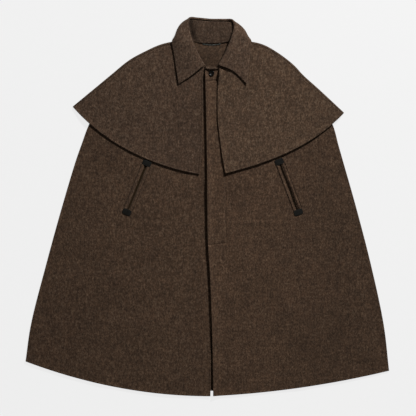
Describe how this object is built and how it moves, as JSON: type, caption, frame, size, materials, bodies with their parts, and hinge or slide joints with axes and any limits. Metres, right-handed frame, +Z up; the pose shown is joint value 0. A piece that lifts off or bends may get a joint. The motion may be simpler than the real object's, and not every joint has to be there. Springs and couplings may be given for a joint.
{
  "type": "wool cape coat",
  "caption": "Sleeveless wool coat with a shoulder cape over it, a turned-down collar, a fly front buttoned at the neck and slanted welt pockets, laid flat on its back.",
  "frame": {"origin": "on the surface that the coat lies on, under the middle of its outline", "axes": "+Z up from the surface to the front of the coat, +Y along the coat from hem to collar, +X to the right as the coat is seen from above"},
  "size_m": [1.055, 1.0999, 0.0295],
  "materials": {
    "wool": "matt, felted mottled brown wool",
    "leather": "semi-matt, very dark green-black",
    "horn": "glossy, near black",
    "tape": "satin, dark green-black tape"
  },
  "bodies": {
    "root": {"cape_back": "wool", "back": "wool", "front_under": "wool", "front_over": "wool", "cape_front_left": "wool", "cape_front_right": "wool", "collar_band": "wool", "collar_fall": "wool", "pocket_left_welt_inner": "wool", "pocket_left_welt_outer": "wool", "pocket_right_welt_inner": "wool", "pocket_right_welt_outer": "wool", "pocket_left_tab_top": "leather", "pocket_left_tab_foot": "leather", "pocket_right_tab_top": "leather", "pocket_right_tab_foot": "leather", "button": "horn", "hang_loop": "tape"}
  },
  "joints": []
}
